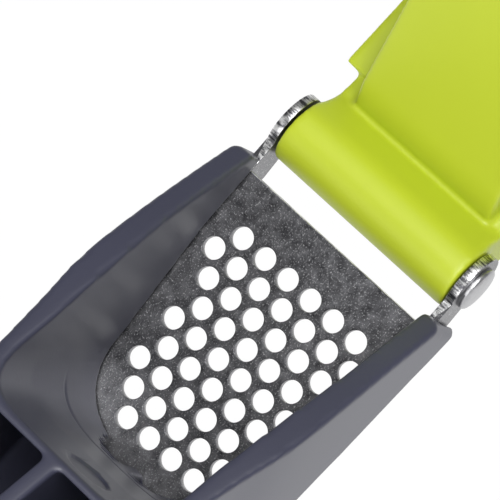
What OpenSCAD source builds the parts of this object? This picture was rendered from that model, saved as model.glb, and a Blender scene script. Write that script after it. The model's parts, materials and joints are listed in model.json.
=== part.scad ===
// Hinged garlic press, lying open. The lower handle carries the hopper and the strainer,
// and the upper lever carries the pressing block.
// X runs along the handles towards the hinge, Z is up. The origin is the centre of the
// flat land under the hopper. The plate frame is the strainer's own: its x axis runs
// along the sheet to the hinge and its z axis is square to the sheet.

/* [Strainer] */
// Distance between neighbouring holes in a row
hole_pitch = 3.2; // [3.0:0.1:3.4]
// Diameter of a strainer hole
hole_d = 2.46; // [1.8:0.02:2.6]
// Distance between rows of holes
row_pitch = 2.71; // [2.6:0.01:2.8]
// Thickness of the steel sheet
sheet_t = 1.0; // [0.8:0.1:1.2]
// Half width of the hopper floor at its open end
floor_half_w = 11.8; // [11.4:0.1:11.9]
// Front edge of the sheet, ahead of the first row of holes
floor_front = 5.7; // [5:0.1:6]
// Back end of the hopper floor, behind the first row of holes
floor_back = 24.8; // [24.4:0.1:25.2]
// Slope of the sheet against the handle
floor_slope = 35; // [33:1:37]

/* [Hinge] */
// Hinge axis ahead of the first row of holes, along the sheet
pin_ahead = 12.0; // [11.5:0.1:12.5]
// Hinge axis below the top of the sheet
pin_below = 2.4; // [2:0.1:2.6]
// Radius of the pin's shank
pin_r = 1.5; // [1.3:0.05:1.6]
// Radial running clearance of the lever on the pin
pin_gap = 0.05; // [0.03:0.01:0.09]
// Radius of the pin's head and of its riveted end
head_r = 2.55; // [2.2:0.05:2.8]
// Thickness of the pin's head
head_t = 1.0; // [0.8:0.1:1.3]
// Thickness of the pin's riveted end
rivet_t = 0.2; // [0.2:0.05:0.4]
// Radius of the rounded ear ends
ear_r = 3.6; // [3.4:0.1:4.2]
// Radius of the lever's barrel
barrel_r = 3.7; // [3.4:0.1:3.8]
// Angle by which the lever stands open
open_angle = 142; // [120:1:150]

/* [Lower handle] */
// Half width across the hopper walls
body_half_w = 14.5; // [14.3:0.1:14.8]
// Height of the rim over the first row of holes
rim_h = 9.5; // [9:0.1:10]
// Length of the handle behind the first row of holes
handle_l = 150; // [145:1:155]
// Thickness of the handle's walls and floor
wall_t = 2.2; // [1.8:0.1:2.6]
// Thickness of the ribs
rib_t = 1.8; // [1.4:0.1:2.2]

/* [Upper lever] */
// Half width of the pressing block
block_half_w = 9.4; // [9:0.1:9.8]
// Gap left between the pressing face and the sheet when shut
press_gap = 0.8; // [0.5:0.1:1]
// Half width of the lever's flange over the rims
flange_half_w = 13.3; // [13:0.1:13.6]
// Gap between the rims and the lever's flange when shut
rim_gap = 0.5; // [0.4:0.1:0.8]

/* [Hidden] */
$fn = 64;
REACH = 60;                      // longer than any cut needs to be
sc = [sin(floor_slope), cos(floor_slope)];
// a point of the plate frame in the handle's side view, and the pin's place there
function side(x, z) = [x * sc[1] - z * sc[0], x * sc[0] + z * sc[1]];
pin = side(pin_ahead, -pin_below);
holes_in_row = [6, 7, 6, 5, 6, 5, 6, 5, 4];

// hopper: straight sides that draw in, and a superellipse across the back, which
// turns from round at the sheet to boxy at the rim
sides_end = -15.5;
back_half_w = 10.9;
low_power = 0.8;
top_power = 0.42;
top_back = 23.6;
boxy_from = 18;                  // height over the sheet above which the walls are upright
// steel: the bent sides and ears stand outside the hopper's inner walls
ear_in = floor_half_w + 0.15;
ear_out = ear_in + sheet_t;
bend_back = -13;
strap_h = 4.4;                   // height of the straps at the pin
side_front_h = 5.4;              // height of the bent sides, at the front and the back
side_back_h = 3.4;
seat_gap = 0.1;
seat_lip = 1;
corner_r = 5;                    // plan corners of the pressing block

// side view of the handle
rim_flat = -24;                  // behind this the rim runs level
rim_curve = 270;                 // twice the radius of the rim's fall to the hinge
front_x = 7.2;                   // front end of the plastic, in the plate frame
front_r = 1;                     // plan corners of the plastic's front end
skirt_front = 6;                 // how far the skirt reaches under the sheet
foot_z = -16.6;                  // the flat land, and its ends
foot_front = -18.9;
foot_back = -45;
foot_x = (foot_front + foot_back) / 2;
grip_z = -12.5;
end_r = 9;
cross_wall = 1.25;               // back wall between hopper and grip, square to itself
rib_every = 27;

// side view of the lever when shut
block_back = 23.0;
valley_u = 3.3;                  // crease between neck and block, from the pin
valley_w = 4.8;
face_from = 8.5;                 // start of the flat pressing face, from the pin
flange_front = 3.0;
neck_half_w = 11.4;
barrel_half_l = floor_half_w - 0.05;
lever_top = [[13.4, 7.6], [9, 13.6], [0, 19.3], [-12, 23.4], [-30, 26.4], [-60, 26.6],
             [-100, 24.2], [-132, 22.6], [-144, 20.4], [-149.4, 15.6]];
lever_plan = [[8, flange_half_w], [-10, flange_half_w], [-24, 13.0], [-40, 11.8],
              [-66, 11.0], [-98, 11.7], [-124, 12.3], [-140, 11.0], [-147, 7.8],
              [-150, 2.6]];
body_plan = [[12, body_half_w], [-8, body_half_w], [-18, 14.25], [-26, 13.15],
             [-38, 11.95], [-66, 11.0], [-98, 11.7], [-124, 12.3], [-140, 11.0],
             [-147, 7.8], [-150, 2.6]];

// Catmull-Rom curve through hand-placed points
function spline_at(a, b, c, d, t) =
    0.5 * (2 * b + (c - a) * t + (2 * a - 5 * b + 4 * c - d) * t * t
    + (3 * b - a - 3 * c + d) * t * t * t);
function smooth(p, n = 6) = let (k = len(p) - 1) concat(
    [for (i = [0:k - 1]) for (j = [0:n - 1])
        spline_at(p[max(i - 1, 0)], p[i], p[i + 1], p[min(i + 2, k)], j / n)],
    [p[k]]);
function flip(p) = [for (i = [len(p) - 1:-1:0]) [p[i][0], -p[i][1]]];

function rim_z(x) = rim_h - pow(max(x - rim_flat, 0), 2) / rim_curve;

// outline of the hopper, grown by g, from the hinge end round the back; t is 0 at the
// sheet and 1 at the rim
function back_arc(g, t) = let (
        back = floor_back + t * (top_back - floor_back),
        power = low_power + t * (top_power - low_power))
    [for (a = [0:9:180]) let (c = cos(a)) [
        sides_end - (back + sides_end + g) * pow(sin(a), power),
        (back_half_w + g) * sign(c) * pow(abs(c), power)]];
function hopper_outline(g, front, t = 0) = concat(
    [[front, floor_half_w + g], [-2, floor_half_w + g]],
    back_arc(g, t),
    [[-2, -floor_half_w - g], [front, -floor_half_w - g]]);
// quarter circle round a corner, and a block's plan with round corners at its back
function quarter(cx, cy, r, from) =
    [for (a = [from:15:from + 90]) [cx + r * cos(a), cy + r * sin(a)]];
function block_outline(half_w, back, r) = concat(
    [[REACH, half_w]], quarter(r - back, half_w - r, r, 90),
    quarter(r - back, r - half_w, r, 180), [[REACH, -half_w]]);

// turns a side view, drawn in X and Z, into a slab from -half to half in Y
module slab(half) {
    rotate([90, 0, 0]) linear_extrude(2 * half, center = true) children();
}
module in_plate_frame() {
    rotate([0, -floor_slope, 0]) children();
}
module to_origin() {
    translate([-foot_x, 0, -foot_z]) children();
}
// a closed solid through rings of points, all with the same number of points
module loft(rings) {
    n = len(rings[0]);
    m = len(rings);
    polyhedron(
        points = [for (r = rings) for (p = r) p],
        faces = concat(
            [[for (i = [0:n - 1]) i]],
            [for (k = [0:m - 2]) for (i = [0:n - 1]) let (j = (i + 1) % n)
                [k * n + i, (k + 1) * n + i, (k + 1) * n + j, k * n + j]],
            [[for (i = [n - 1:-1:0]) (m - 1) * n + i]]));
}

module handle_side() {
    nose = front_x + 1;
    front_top = side(nose, (rim_z(side(nose, 3)[0]) - nose * sc[0]) / sc[1]);
    front_low = side(nose, -skirt_front);
    polygon(concat(
        [front_low, front_top],
        [for (x = [2:-2:rim_flat]) [x, rim_z(x)]],
        [[-handle_l, rim_h]],
        [for (a = [0:15:90]) [
            end_r - handle_l - end_r * cos(a), grip_z + end_r - end_r * sin(a)]],
        [[-76, grip_z]],
        [[foot_back, foot_z], [foot_front, foot_z]]));
}

// the two rows of pockets behind the hopper, on each side of the middle rib
module handle_pockets() {
    wall_x = side(-top_back - cross_wall, (rim_h + top_back * sc[0]) / sc[1])[0];
    difference() {
        intersection() {
            slab(REACH) polygon([
                [wall_x - 2 * sc[0] / sc[1], rim_h + 2],
                [wall_x + (rim_h - foot_z - wall_t) * sc[0] / sc[1], foot_z + wall_t],
                [foot_back, foot_z + wall_t], [-76, grip_z + wall_t],
                [end_r - handle_l, grip_z + wall_t], [wall_t - handle_l, grip_z + end_r],
                [wall_t - handle_l, rim_h + 2]]);
            translate([0, 0, -REACH / 2]) linear_extrude(REACH) offset(delta = -wall_t)
                polygon(concat(smooth(body_plan), flip(smooth(body_plan))));
        }
        slab(rib_t / 2) translate([-handle_l, -REACH / 2]) square([handle_l + 20, REACH]);
        for (x = [-64:-rib_every:10 - handle_l])
            slab(REACH) translate([x, -REACH / 2]) square([rib_t, REACH]);
    }
}

module lower_handle() {
    color("dimgray") to_origin() difference() {
        intersection() {
            slab(REACH) handle_side();
            translate([0, 0, -REACH / 2]) linear_extrude(REACH)
                polygon(concat(smooth(body_plan), flip(smooth(body_plan))));
            in_plate_frame() translate([0, 0, -2 * REACH]) linear_extrude(4 * REACH)
                polygon(concat([[-4 * REACH, -body_half_w]],
                    quarter(front_x - front_r, front_r - body_half_w, front_r, -90),
                    quarter(front_x - front_r, body_half_w - front_r, front_r, 0),
                    [[-4 * REACH, body_half_w]]));
        }
        in_plate_frame() {
            // hopper, open at the top and towards the hinge
            loft([for (z = [0, 0.2, 0.4, 0.6, 0.8, 1, 3])
                [for (p = hopper_outline(0, 30, min(z, 1))) [p[0], p[1], z * boxy_from]]]);
            // seat of the steel, open from below
            mirror([0, 0, 1]) linear_extrude(REACH) {
                polygon(hopper_outline(seat_lip + seat_gap, 30));
                translate([bend_back - seat_gap, -ear_out - seat_gap])
                    square([REACH, 2 * (ear_out + seat_gap)]);
            }
        }
        handle_pockets();
    }
}

module strainer_plate() {
    color("silver") to_origin() in_plate_frame() difference() {
        union() {
            translate([0, 0, -sheet_t]) linear_extrude(sheet_t) {
                polygon(hopper_outline(seat_lip, floor_front));
                translate([bend_back, -ear_out])
                    square([floor_front - bend_back, 2 * ear_out]);
            }
            for (s = [-1, 1]) translate([0, s * (ear_in + sheet_t / 2), 0]) {
                slab(sheet_t / 2) polygon([
                    [bend_back, 0], [bend_back, -side_back_h], [floor_front, -side_front_h],
                    [pin_ahead, -strap_h], [pin_ahead, 0]]);
                slab(sheet_t / 2) translate([pin_ahead, -pin_below]) circle(ear_r);
            }
        }
        for (r = [0:len(holes_in_row) - 1]) for (i = [0:holes_in_row[r] - 1])
            translate([-r * row_pitch, (i - (holes_in_row[r] - 1) / 2) * hole_pitch, -2])
                cylinder(h = 4, d = hole_d, $fn = 32);
        translate([pin_ahead, 0, -pin_below]) rotate([90, 0, 0])
            cylinder(h = REACH, r = pin_r, center = true);
    }
}

// one end of the pin: half the shank and a low domed head
module pin_half(t) {
    rotate([-90, 0, 0]) rotate_extrude() polygon(concat(
        [[0, 0], [pin_r, 0], [pin_r, ear_out], [head_r, ear_out], [head_r, ear_out + t / 2]],
        [for (a = [15:15:90]) [head_r * cos(a), ear_out + t / 2 + t / 2 * sin(a)]]));
}

module hinge_pin() {
    color("gainsboro") to_origin() translate([pin[0], 0, pin[1]]) {
        pin_half(rivet_t);
        mirror([0, 1, 0]) pin_half(head_t);
    }
}

module lever_side(front) {
    under = [for (x = [rim_flat:2:front]) [x, rim_z(x) + rim_gap]];
    polygon(concat(
        [[6 - handle_l, rim_h + rim_gap]], under, [[front, rim_z(front) + rim_gap]],
        [for (p = smooth(lever_top)) if (p[0] <= front) p]));
}

// pockets in the underside of the grip, as in the lower handle
module lever_pockets() {
    top_cut = 5;
    difference() {
        intersection() {
            slab(REACH) polygon([
                [-42, rim_h - 2], [-42, 26.4 - top_cut], [-60, 26.4 - top_cut],
                [-100, 24 - top_cut], [-132, 22.4 - top_cut], [-140, 20 - top_cut],
                [-140, rim_h - 2]]);
            translate([0, 0, -REACH / 2]) linear_extrude(2 * REACH) offset(delta = -wall_t)
                polygon(concat(smooth(lever_plan), flip(smooth(lever_plan))));
        }
        slab(rib_t / 2) translate([-handle_l, -REACH]) square([handle_l, 2 * REACH]);
        for (x = [-64:-rib_every:10 - handle_l])
            slab(REACH) translate([x, -REACH]) square([rib_t, 2 * REACH]);
    }
}

// pressing block: its face is parallel to the sheet when shut, and its front is an
// arc from the crease that runs smoothly into the face
module lever_block() {
    run = face_from - valley_u;
    rise = valley_w - press_gap - pin_below;
    r = (run * run + rise * rise) / (2 * rise);
    span = asin(run / r);
    back = side(-block_back, press_gap);
    intersection() {
        slab(REACH) polygon(concat(
            [for (a = [span:-span / 8:0]) side(
                pin_ahead - face_from + r * sin(a), press_gap + r - r * cos(a))],
            [back, [back[0] - (12 - back[1]) * sc[0] / sc[1], 12], [-1, 12]]));
        in_plate_frame() translate([0, 0, -REACH / 2]) linear_extrude(2 * REACH)
            polygon(block_outline(block_half_w, block_back, corner_r));
    }
}

module lever_shut() {
    difference() {
        union() {
            intersection() {
                slab(REACH) lever_side(flange_front);
                translate([0, 0, -REACH / 2]) linear_extrude(2 * REACH)
                    polygon(concat(smooth(lever_plan), flip(smooth(lever_plan))));
            }
            // neck up from the barrel
            slab(neck_half_w) polygon(concat(
                [for (p = [[0, 0], [barrel_r - 0.01, 0.3], [valley_u, valley_w],
                           [3.9, 5.7], [4.9, 7.2]])
                    side(pin_ahead - p[0], p[1] - pin_below)],
                [[-6, 12]],
                [for (i = [12:-1:0]) smooth(lever_top)[i]]));
            translate([pin[0], 0, pin[1]]) rotate([90, 0, 0])
                cylinder(h = 2 * barrel_half_l, r = barrel_r, center = true);
            lever_block();
        }
        translate([pin[0], 0, pin[1]]) rotate([90, 0, 0])
            cylinder(h = REACH, r = pin_r + pin_gap, center = true);
        lever_pockets();
    }
}

module upper_lever() {
    color("yellowgreen") to_origin() translate([pin[0], 0, pin[1]])
        rotate([0, open_angle, 0]) translate([-pin[0], 0, -pin[1]]) lever_shut();
}

lower_handle();
strainer_plate();
upper_lever();
hinge_pin();
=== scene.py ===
import json
import math

import bmesh
import bpy
import numpy as np
from mathutils import Matrix, Vector


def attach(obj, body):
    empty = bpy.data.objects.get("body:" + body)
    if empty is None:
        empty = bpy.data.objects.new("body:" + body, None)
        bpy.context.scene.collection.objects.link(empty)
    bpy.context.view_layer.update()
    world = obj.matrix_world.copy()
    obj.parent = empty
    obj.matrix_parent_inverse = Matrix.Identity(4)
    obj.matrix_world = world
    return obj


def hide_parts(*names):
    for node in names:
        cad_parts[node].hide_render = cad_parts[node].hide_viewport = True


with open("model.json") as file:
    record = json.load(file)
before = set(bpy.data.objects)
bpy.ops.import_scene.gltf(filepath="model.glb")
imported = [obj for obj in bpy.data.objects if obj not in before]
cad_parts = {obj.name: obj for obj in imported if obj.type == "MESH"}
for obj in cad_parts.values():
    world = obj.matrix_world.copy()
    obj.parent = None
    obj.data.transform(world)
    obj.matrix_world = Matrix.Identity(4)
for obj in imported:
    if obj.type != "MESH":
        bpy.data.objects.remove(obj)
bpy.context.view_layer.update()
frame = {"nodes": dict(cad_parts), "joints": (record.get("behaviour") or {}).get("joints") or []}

MM = 0.001
scene = bpy.context.scene

# ---------------------------------------------------------------- places from the frame

PIN = np.array(frame["joints"][0]["pos_m"])
SLOPE = math.radians(35)            # slope of the strainer against the handle
PIN_AHEAD, PIN_BELOW = 12.0, -2.4   # the pin in the strainer's own frame, in mm
RIM_TOP = 0.0261                    # height of the handle's level rims


def strainer_frame(points):
    """Row-frame points in metres to the strainer's frame in mm: x along the sheet to the hinge, z square to
    it."""
    d = (points - PIN) / MM
    c, s = math.cos(SLOPE), math.sin(SLOPE)
    return np.stack([d[:, 0] * c + d[:, 2] * s + PIN_AHEAD, d[:, 1],
                     d[:, 2] * c - d[:, 0] * s + PIN_BELOW], axis=1)


def shift_from_strainer_frame(shift):
    """A displacement in the strainer's frame, in mm, to the row frame, in metres."""
    c, s = math.cos(SLOPE), math.sin(SLOPE)
    return np.stack([shift[:, 0] * c - shift[:, 2] * s, shift[:, 1],
                     shift[:, 0] * s + shift[:, 2] * c], axis=1) * MM


def ramp(x, start, end):
    """Smooth step from 0 at start to 1 at end."""
    t = np.clip((x - start) / (end - start), 0, 1)
    return t * t * (3 - 2 * t)


# ---------------------------------------------------------------- camera, light and floor

def srgb(code):
    """sRGB hex to linear RGBA."""
    channels = [int(code[i:i + 2], 16) / 255 for i in (1, 3, 5)]
    return [c / 12.92 if c <= 0.04045 else ((c + 0.055) / 1.055) ** 2.4 for c in channels] + [1]


def aim(obj, target, azimuth, elevation, distance, roll=0.0):
    """Places obj at an azimuth and elevation round the target, looking at it. Azimuth 0 looks along +Y."""
    az, el = math.radians(azimuth), math.radians(elevation)
    back = Vector((math.sin(az) * math.cos(el), -math.cos(az) * math.cos(el), math.sin(el)))
    turn = back.to_track_quat("Z", "Y").to_matrix().to_4x4()
    turn = turn @ Matrix.Rotation(math.radians(roll), 4, "Z")
    obj.matrix_world = Matrix.Translation(Vector(target) + back * distance) @ turn


def make_camera():
    data = bpy.data.cameras.new("camera")
    data.lens = 216.0
    data.sensor_width = 36.0
    data.clip_start = 0.01
    obj = bpy.data.objects.new("camera", data)
    scene.collection.objects.link(obj)
    aim(obj, (0.02904, 0.00510, 0.02124), azimuth=-61.13, elevation=58.18, distance=0.300,
        roll=17.56)
    scene.camera = obj


def area_light(name, place, azimuth, elevation, distance, size, power, tint="#ffffff"):
    data = bpy.data.lights.new(name, "AREA")
    data.shape = "SQUARE"
    data.size = size
    data.energy = power
    data.color = srgb(tint)[:3]
    obj = bpy.data.objects.new(name, data)
    scene.collection.objects.link(obj)
    aim(obj, place, azimuth, elevation, distance)


def make_world():
    """A studio that is pale grey round the horizon and dimmer overhead."""
    world = bpy.data.worlds.new("studio")
    world.use_nodes = True
    tree = world.node_tree
    where = add(tree, "ShaderNodeTexCoord")
    split = add(tree, "ShaderNodeSeparateXYZ", Vector=(where, "Generated"))
    height = add(tree, "ShaderNodeMapRange", {"interpolation_type": "SMOOTHSTEP"},
                 Value=(split, "Z"), From_Min=0.1, From_Max=0.7, To_Min=0.44, To_Max=0.19)
    background = tree.nodes["Background"]
    background.inputs["Color"].default_value = srgb("#ffffff")
    tree.links.new(height.outputs["Result"], background.inputs["Strength"])
    scene.world = world


def make_stage():
    """A white lit table, and large soft lamps round the press."""
    floor = bpy.data.meshes.new("floor")
    r = 1.5
    floor.from_pydata([(-r, -r, 0), (r, -r, 0), (r, r, 0), (-r, r, 0)], [], [(0, 1, 2, 3)])
    obj = bpy.data.objects.new("floor", floor)
    scene.collection.objects.link(obj)
    mat, tree, shader = new_material("white_table", Roughness=1.0, Specular_IOR_Level=0.0)
    shader.inputs["Base Color"].default_value = srgb("#101010")
    shader.inputs["Emission Color"].default_value = srgb("#ffffff")
    shader.inputs["Emission Strength"].default_value = 1.0
    floor.materials.append(mat)
    middle = (0.03, 0.0, 0.02)
    area_light("key_softbox", middle, -50, 66, 0.6, 0.35, 3.3)
    area_light("front_softbox", middle, -80, 18, 0.6, 0.4, 1.3)
    area_light("top_softbox", middle, 40, 84, 0.6, 0.3, 0.7)
    scene.view_settings.view_transform = "Standard"


# ---------------------------------------------------------------- materials

def add(tree, kind, settings=None, **links):
    """Adds a node with its settings and its input links or values. A link is a (node, socket) pair."""
    node = tree.nodes.new(kind)
    for key, value in (settings or {}).items():
        setattr(node, key, value)
    for key, value in links.items():
        socket = node.inputs[int(key[1:])] if key[0] == "i" and key[1:].isdigit() else \
            node.inputs[key.replace("_", " ")]
        if isinstance(value, tuple) and isinstance(value[0], bpy.types.Node):
            tree.links.new(value[0].outputs[value[1]], socket)
        else:
            socket.default_value = value
    return node


def new_material(name, **values):
    """A material with its own Principled shader; values are set on the shader's sockets."""
    mat = bpy.data.materials.new(name)
    mat.use_nodes = True
    shader = mat.node_tree.nodes["Principled BSDF"]
    for key, value in values.items():
        shader.inputs[key.replace("_", " ")].default_value = value
    return mat, mat.node_tree, shader


def moulded_nylon(name, colour, deep, roughness):
    """Injection-moulded nylon from a spark-eroded mould: even colour, satin gloss, a fine matt grain."""
    mat, tree, shader = new_material(name, Roughness=roughness, IOR=1.49)
    where = add(tree, "ShaderNodeTexCoord")
    # flow marks some 15 mm across
    clouds = add(tree, "ShaderNodeTexNoise", Vector=(where, "Object"), Scale=60.0, Detail=3.0)
    mix = add(tree, "ShaderNodeMix", {"data_type": "RGBA"}, i0=(clouds, "Fac"), i6=srgb(deep),
              i7=srgb(colour))
    tree.links.new(mix.outputs[2], shader.inputs["Base Color"])
    # spark-eroded grain of about 0.3 mm, coarser than the real one so that it shows
    grain = add(tree, "ShaderNodeTexNoise", Vector=(where, "Object"), Scale=3300.0, Detail=2.0)
    bump = add(tree, "ShaderNodeBump", Height=(grain, "Fac"), Strength=0.12, Distance=0.00008)
    tree.links.new(bump.outputs[0], shader.inputs["Normal"])
    return mat


def rolled_steel(name, bright, dull, cut_edges):
    """Cold-rolled stainless sheet, punched, bent and tumbled: a dark grey mirror with dull patches, nicks and
    scratches. The attribute named edge is 1 on cut edges, which are torn and striped bright and dark, and 0.5
    on faces square to the hinge axis. On the sheet's front edge the bright stripes are a painted highlight, a
    reflection of the white floor. Without cut edges it serves the turned pin too."""
    mat, tree, shader = new_material(name, Metallic=1.0)
    where = add(tree, "ShaderNodeTexCoord")
    # the strainer's own frame, so that the pattern lies along the sheet
    c, s = math.cos(SLOPE), math.sin(SLOPE)
    shift = (PIN_AHEAD * MM - PIN[0] * c - PIN[2] * s, 0.0,
             PIN_BELOW * MM + PIN[0] * s - PIN[2] * c)
    sheet = add(tree, "ShaderNodeMapping", Vector=(where, "Object"), Rotation=(0.0, SLOPE, 0.0),
                Location=shift)
    # dull and bright patches 1 to 2 mm across
    patches = add(tree, "ShaderNodeTexNoise", Vector=(sheet, "Vector"), Scale=700.0, Detail=6.0,
                  Roughness=0.75)
    # the sheet's back end, under the back wall, is made a lighter grey
    along = add(tree, "ShaderNodeSeparateXYZ", Vector=(sheet, "Vector"))
    rear = add(tree, "ShaderNodeMapRange", {"interpolation_type": "SMOOTHSTEP"},
               Value=(along, "X"), From_Min=-0.016, From_Max=-0.024, To_Min=0.0, To_Max=0.45)
    tone = add(tree, "ShaderNodeMapRange", Value=(patches, "Fac"), From_Min=0.35, From_Max=0.7)
    greyer = add(tree, "ShaderNodeMath", {"operation": "ADD"}, i0=(tone, "Result"),
                 i1=(rear, "Result"))
    edge = add(tree, "ShaderNodeAttribute", {"attribute_name": "edge"})
    whole = add(tree, "ShaderNodeMath", {"operation": "ADD"}, i0=(greyer, "Value"),
                i1=(edge, "Fac"))
    mix = add(tree, "ShaderNodeMix", {"data_type": "RGBA", "clamp_factor": False},
              i0=(whole, "Value"), i6=srgb(dull), i7=srgb(bright))
    # nicks of about 0.2 mm, and fine scratches 0.1 mm wide and 1 mm long
    nicks = add(tree, "ShaderNodeTexNoise", Vector=(sheet, "Vector"), Scale=5500.0, Detail=3.0)
    spots = add(tree, "ShaderNodeMapRange", Value=(nicks, "Fac"), From_Min=0.57, From_Max=0.7)
    turned = add(tree, "ShaderNodeMapping", Vector=(sheet, "Vector"),
                 Rotation=(0.0, 0.0, 0.7), Scale=(1.0, 9.0, 1.0))
    hairs = add(tree, "ShaderNodeTexNoise", Vector=(turned, "Vector"), Scale=900.0, Detail=4.0,
                Roughness=0.7)
    lines = add(tree, "ShaderNodeMapRange", Value=(hairs, "Fac"), From_Min=0.62, From_Max=0.72)
    marks = add(tree, "ShaderNodeMath", {"operation": "MAXIMUM"}, i0=(spots, "Result"),
                i1=(lines, "Result"))
    flecked = add(tree, "ShaderNodeMix", {"data_type": "RGBA"}, i0=(marks, "Value"),
                  i6=(mix, 2), i7=srgb("#b4b4b6"))
    # torn edges: bright and dark stripes of about 0.4 mm; on the sheet's front edge the bright stripes are a
    # painted highlight, a reflection of the white floor
    across = add(tree, "ShaderNodeMapping", Vector=(sheet, "Vector"), Scale=(1.0, 0.25, 1.0))
    torn = add(tree, "ShaderNodeTexNoise", Vector=(across, "Vector"), Scale=2600.0, Detail=4.0,
               Roughness=0.7)
    stripes = add(tree, "ShaderNodeMapRange", Value=(torn, "Fac"), From_Min=0.42, From_Max=0.58)
    tear_and_painted_highlight = add(tree, "ShaderNodeMix", {"data_type": "RGBA"}, i0=(stripes, "Result"),
               i6=srgb("#5c5c60"), i7=srgb("#f0f0f0"))
    is_cut = add(tree, "ShaderNodeMapRange", Value=(edge, "Fac"), From_Min=0.6, From_Max=0.9)
    colour = add(tree, "ShaderNodeMix", {"data_type": "RGBA"}, i0=(is_cut, "Result"),
                 i6=(flecked, 2), i7=(tear_and_painted_highlight, 2))
    tree.links.new((colour if cut_edges else flecked).outputs[2], shader.inputs["Base Color"])
    rough = add(tree, "ShaderNodeMapRange", Value=(patches, "Fac"), From_Min=0.3, From_Max=0.7,
                To_Min=0.26, To_Max=0.42)
    tree.links.new(rough.outputs["Result"], shader.inputs["Roughness"])
    height = add(tree, "ShaderNodeMath", {"operation": "ADD"}, i0=(nicks, "Fac"),
                 i1=(torn, "Fac"))
    bump = add(tree, "ShaderNodeBump", Height=(height, "Value"), Strength=0.3,
               Distance=0.00004)
    tree.links.new(bump.outputs[0], shader.inputs["Normal"])
    return mat


# ---------------------------------------------------------------- meshes

def new_piece(name, mesh, mat, node, body):
    """A finished piece that stands for a CAD node, on that node's body and material slot."""
    mesh.name = name
    mesh.materials.clear()
    mesh.materials.append(mat)
    mesh.shade_smooth()
    obj = bpy.data.objects.new(name, mesh)
    scene.collection.objects.link(obj)
    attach(obj, body)
    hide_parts(node)
    return obj


def cad_copy(node):
    """A copy of a CAD node's mesh with its loose triangles joined."""
    mesh = frame["nodes"][node].data.copy()
    work = bmesh.new()
    work.from_mesh(mesh)
    bmesh.ops.remove_doubles(work, verts=work.verts, dist=2e-6)
    work.to_mesh(mesh)
    work.free()
    return mesh


def places(mesh):
    co = np.empty(len(mesh.vertices) * 3)
    mesh.vertices.foreach_get("co", co)
    return co.reshape(-1, 3)


def normals(mesh):
    n = np.empty(len(mesh.vertices) * 3, np.float32)
    mesh.vertex_normals.foreach_get("vector", n)
    return n.reshape(-1, 3).astype(float)


def move_to(mesh, points):
    mesh.vertices.foreach_set("co", points.ravel())
    mesh.update()


def reworked(mesh, *steps):
    """The mesh after modifiers, each step a kind and its settings."""
    obj = bpy.data.objects.new("work", mesh)
    scene.collection.objects.link(obj)
    for kind, settings in steps:
        modifier = obj.modifiers.new(kind, kind)
        for key, value in settings.items():
            setattr(modifier, key, value)
    graph = bpy.context.evaluated_depsgraph_get()
    out = bpy.data.meshes.new_from_object(obj.evaluated_get(graph), depsgraph=graph)
    bpy.data.objects.remove(obj)
    return out


def moulded(mesh, quad, rounding):
    """Even small quads, quad mm across, over the whole solid, then eased edges and corners."""
    return reworked(mesh, ("REMESH", dict(mode="VOXEL", voxel_size=quad * MM)),
                    ("SMOOTH", dict(factor=0.5, iterations=rounding)))


def thinned(mesh, most):
    """The mesh with flat places thinned until it has at most that many triangles."""
    count = sum(len(p.vertices) - 2 for p in mesh.polygons)
    return reworked(mesh, ("DECIMATE", dict(ratio=min(1.0, most / count)))) \
        if count > most else mesh


# half width of the handle's outer walls, in mm, by its distance along X from the pin
HANDLE_WIDTHS = ((-165, 2.0), (-159, 7.8), (-151, 11.0), (-135, 12.3), (-109, 11.7), (-77, 11.0),
                 (-49, 11.9), (-37, 13.0), (-29, 14.1), (-19, 14.5), (10, 14.5))
DRAFT = 0.04                        # how far a wall leans in for each mm down
GROOVE = (9.0, 0.15)                # height over the sheet, and depth, of the back wall's fine groove
EJECTOR_MARK = (-2.0, 23.5, 2.5, 0.25)   # across, height, radius and depth, on the back wall
OUTER_BAND = 0.9                    # points this near the walls' half width, in mm, or past it, lean
# reach of the back wall in the strainer's frame, in mm: x from and to, half width, and z from
BACK_WALL = (-26, -13.5, 12.2, -0.3)
MOST_TRIANGLES = 190000             # of one piece
# size of the even quads, in mm, and rounds of easing, which soften the edges
HANDLE_MOULD = (0.25, 14)
LEVER_MOULD = (0.3, 12)


def handle_piece(mat):
    """The handle's CAD solid, with drafted outer walls: half width less DRAFT times the depth below the rims.
    Its edges are eased, and the back wall gets a fine groove and an ejector mark, a shallow pressed disc."""
    mesh = cad_copy("lower_handle")
    p = places(mesh)
    widths = np.array(HANDLE_WIDTHS)
    half = np.interp((p[:, 0] - PIN[0]) / MM, widths[:, 0], widths[:, 1]) * MM
    outer = np.abs(p[:, 1]) > half - OUTER_BAND * MM
    lean = DRAFT * (RIM_TOP - p[:, 2])
    p[:, 1] -= np.where(outer, np.sign(p[:, 1]) * lean, 0)
    move_to(mesh, p)
    mesh = moulded(mesh, *HANDLE_MOULD)
    p = places(mesh)
    q = strainer_frame(p)
    n = normals(mesh)
    inward = n[:, 0] * math.cos(SLOPE) + n[:, 2] * math.sin(SLOPE)
    start, end, half_width, low = BACK_WALL
    back = (q[:, 0] < end) & (q[:, 0] > start) & (np.abs(q[:, 1]) < half_width) & (q[:, 2] > low)
    height, depth = GROOVE
    groove = -depth * np.exp(-((q[:, 2] - height) / 0.25) ** 2) * ramp(-q[:, 0], 18, 22)
    shift = np.zeros_like(q)
    shift[:, 0] = back * ramp(inward, 0.3, 0.8) * groove
    across, up, radius, depth = EJECTOR_MARK
    r = np.hypot(q[:, 1] - across, q[:, 2] - up)
    shift[:, 0] -= np.where(back & (inward > 0.6),
                            depth * (1 - ramp(r, radius - 0.12, radius + 0.12)), 0)
    move_to(mesh, p + shift_from_strainer_frame(shift))
    return new_piece("hopper_handle", thinned(mesh, MOST_TRIANGLES), mat, "lower_handle",
                     "lower_handle")


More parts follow.
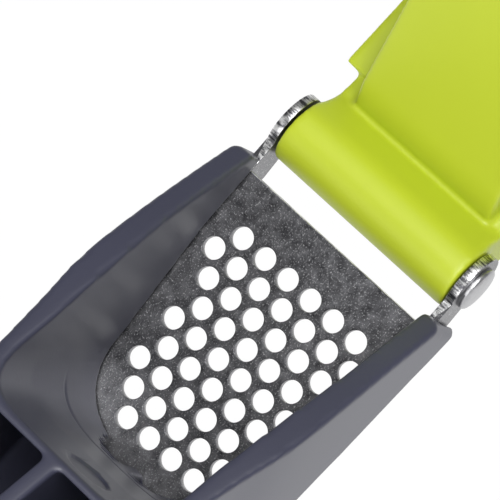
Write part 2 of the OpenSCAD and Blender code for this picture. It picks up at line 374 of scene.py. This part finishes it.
def lever_piece(mat):
    """The lever's CAD solid with eased edges and filled corners, as one moulding."""
    mesh = thinned(moulded(cad_copy("upper_lever"), *LEVER_MOULD), MOST_TRIANGLES)
    return new_piece("press_lever", mesh, mat, "upper_lever", "upper_lever")


# the sheet's front edge is at 5.7 mm in the strainer's frame, and past it are only the straps and ears;
# the front edge's face also gets the cut edges' stripes, whose bright part there is a painted highlight
FRONT_EDGE = (5.6, 5.8)


def sheet_piece(mat):
    """The strainer's CAD solid with a fine bevel on every punched and cut edge."""
    mesh = reworked(cad_copy("strainer_plate"),
                    ("BEVEL", dict(width=0.07 * MM, segments=2, limit_method="ANGLE",
                                   angle_limit=math.radians(40), use_clamp_overlap=True)))
    piece = new_piece("strainer_sheet", mesh, mat, "strainer_plate", "lower_handle")
    count = len(mesh.polygons)
    middle, n = np.empty(count * 3), np.empty(count * 3)
    mesh.polygons.foreach_get("center", middle)
    mesh.polygons.foreach_get("normal", n)
    q, n = strainer_frame(middle.reshape(-1, 3)), n.reshape(-1, 3)
    level = n[:, 2] * math.cos(SLOPE) - n[:, 0] * math.sin(SLOPE)
    # the flats keep their own shading, and the bevels and hole walls are smooth
    flat = (np.abs(n[:, 1]) > 0.995) | (np.abs(level) > 0.995)
    mesh.polygons.foreach_set("use_smooth", ~flat)
    edge = np.where(np.abs(n[:, 1]) > 0.8, 0.5, 0.0)
    start, end = FRONT_EDGE
    # the front edge's face and the straps' and ears' cut edges are marked 1; on the front edge the bright
    # stripes this gives are a painted highlight
    cut = (q[:, 0] > end) | (level < 0.5)
    edge[(q[:, 0] > start) & (np.abs(n[:, 1]) < 0.8) & cut] = 1.0
    mesh.attributes.new("edge", "FLOAT", "FACE").data.foreach_set("value", edge)
    return piece


# profile of the pin, from its head to its riveted end: distance past END_FROM, and radius, in mm
END_FROM = 12.8                     # the ears' outer faces are at 12.95, so both ends are sunk 0.15 mm
PIN_HEAD = ((1.0, 0.0), (0.98, 0.9), (0.94, 1.6), (0.88, 2.1), (0.78, 2.36), (0.64, 2.5),
            (0.48, 2.54), (0.14, 2.54), (0.05, 2.46), (0.01, 2.3), (0.0, 1.5))
PIN_RIVET = ((0.0, 1.5), (0.01, 2.4), (0.04, 2.5), (0.1, 2.5), (0.15, 2.2), (0.18, 1.6),
             (0.19, 0.9), (0.2, 0.0))
PIN_STEPS = 72


def pin_piece(mat):
    """The pin, turned: the profile carried round the hinge axis, closed at both poles."""
    head, rivet = np.array(PIN_HEAD), np.array(PIN_RIVET)
    whole = np.concatenate([(head + (END_FROM, 0)) * (-1, 1), rivet + (END_FROM, 0)])
    profile = whole[1:-1]
    turn = np.arange(PIN_STEPS) * 2 * math.pi / PIN_STEPS
    rings = np.stack([np.outer(profile[:, 1], np.cos(turn)),
                      np.repeat(profile[:, :1], PIN_STEPS, axis=1),
                      np.outer(profile[:, 1], np.sin(turn))], axis=2).reshape(-1, 3)
    poles = np.array([[0, whole[0, 0], 0], [0, whole[-1, 0], 0]])
    points = np.concatenate([rings, poles]) * MM + PIN
    i, j = np.meshgrid(np.arange(len(profile) - 1), np.arange(PIN_STEPS), indexing="ij")
    k = (j + 1) % PIN_STEPS
    quads = np.stack([i * PIN_STEPS + j, (i + 1) * PIN_STEPS + j, (i + 1) * PIN_STEPS + k,
                      i * PIN_STEPS + k], axis=2).reshape(-1, 4).tolist()
    j, last = np.arange(PIN_STEPS), (len(profile) - 1) * PIN_STEPS
    k = (j + 1) % PIN_STEPS
    near = np.stack([np.full(PIN_STEPS, len(rings)), j, k], axis=1).tolist()
    far = np.stack([np.full(PIN_STEPS, len(rings) + 1), last + k, last + j], axis=1).tolist()
    mesh = bpy.data.meshes.new("rivet_pin")
    mesh.from_pydata(points.tolist(), [], quads + near + far)
    work = bmesh.new()
    work.from_mesh(mesh)
    bmesh.ops.recalc_face_normals(work, faces=work.faces)
    work.to_mesh(mesh)
    work.free()
    return new_piece("rivet_pin", mesh, mat, "hinge_pin", "lower_handle")


make_camera()
make_world()
make_stage()

handle_piece(moulded_nylon("slate_nylon", "#3c3d4e", "#363746", 0.38))
lever_piece(moulded_nylon("lime_nylon", "#b3c12c", "#acba28", 0.4))
sheet_piece(rolled_steel("rolled_stainless_sheet", "#77777a", "#4c4c4f", True))
pin_piece(rolled_steel("turned_stainless_pin", "#c4c4c6", "#a8a8aa", False))
